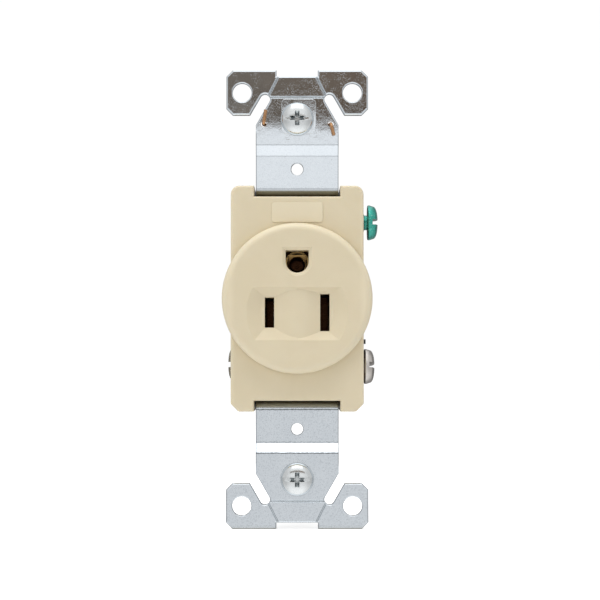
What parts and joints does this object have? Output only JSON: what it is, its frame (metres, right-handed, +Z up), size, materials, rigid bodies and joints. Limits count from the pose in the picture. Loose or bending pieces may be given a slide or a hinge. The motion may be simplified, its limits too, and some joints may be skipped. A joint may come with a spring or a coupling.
{
  "type": "single wall outlet",
  "caption": "Single round-face wall receptacle with a ground hole and two blade slots, on a wrap-around metal strap with break-off ears.",
  "frame": {"origin": "centre of the device on the wall plane, which the rear faces of the ears lie on", "axes": "+Z up along the strap with the ground hole up, -Y out of the wall towards the user, +X to the user's right"},
  "size_m": [0.0364, 0.0328, 0.1062],
  "materials": {
    "ivory_nylon": "satin moulded",
    "dark_plastic": "matte moulded",
    "zinc_steel": "bright zinc plate",
    "contact_brass": "rolled strip",
    "brass_screw": "bright",
    "nickel_screw": "nickel plate",
    "green_screw": "green dyed plate",
    "bronze_wire": "drawn wire",
    "grey_fibre": "pressed fibre"
  },
  "bodies": {
    "device": {"face_cover": "ivory_nylon", "back_body": "dark_plastic", "mounting_strap": "zinc_steel", "hot_contact": "contact_brass", "neutral_contact": "contact_brass", "ground_contact": "contact_brass", "self_ground_clip": "bronze_wire", "upper_assembly_screw": "zinc_steel", "lower_assembly_screw": "zinc_steel", "ground_rivet": "contact_brass"},
    "upper_retainer": {"upper_screw_retainer": "grey_fibre"},
    "upper_screw": {"upper_mounting_screw": "zinc_steel"},
    "lower_retainer": {"lower_screw_retainer": "grey_fibre"},
    "lower_screw": {"lower_mounting_screw": "zinc_steel"},
    "hot_screw": {"hot_terminal_screw": "brass_screw"},
    "neutral_screw": {"neutral_terminal_screw": "nickel_screw"},
    "ground_screw": {"ground_terminal_screw": "green_screw"}
  },
  "joints": [
    {"name": "upper_screw_slide", "type": "slide", "parent": "device", "child": "upper_retainer", "axis": [0, -1, 0], "range_m": [0, 0.003]},
    {"name": "upper_screw_turn", "type": "hinge", "parent": "upper_retainer", "child": "upper_screw", "pos_m": [0, 0, 0.04167], "axis": [0, -1, 0], "continuous": true},
    {"name": "lower_screw_slide", "type": "slide", "parent": "device", "child": "lower_retainer", "axis": [0, -1, 0], "range_m": [0, 0.0038]},
    {"name": "lower_screw_turn", "type": "hinge", "parent": "lower_retainer", "child": "lower_screw", "pos_m": [0, 0, -0.04167], "axis": [0, -1, 0], "continuous": true},
    {"name": "hot_screw_turn", "type": "hinge", "parent": "device", "child": "hot_screw", "pos_m": [-0.0139, 0.01, -0.0153], "axis": [-1, 0, 0], "range_deg": [-180, 1310]},
    {"name": "neutral_screw_turn", "type": "hinge", "parent": "device", "child": "neutral_screw", "pos_m": [0.01585, 0.01, -0.0158], "axis": [1, 0, 0], "range_deg": [-1065, 425]},
    {"name": "ground_screw_turn", "type": "hinge", "parent": "device", "child": "ground_screw", "pos_m": [0.01665, 0.01, 0.0184], "axis": [1, 0, 0], "range_deg": [-1490, 0]}
  ]
}
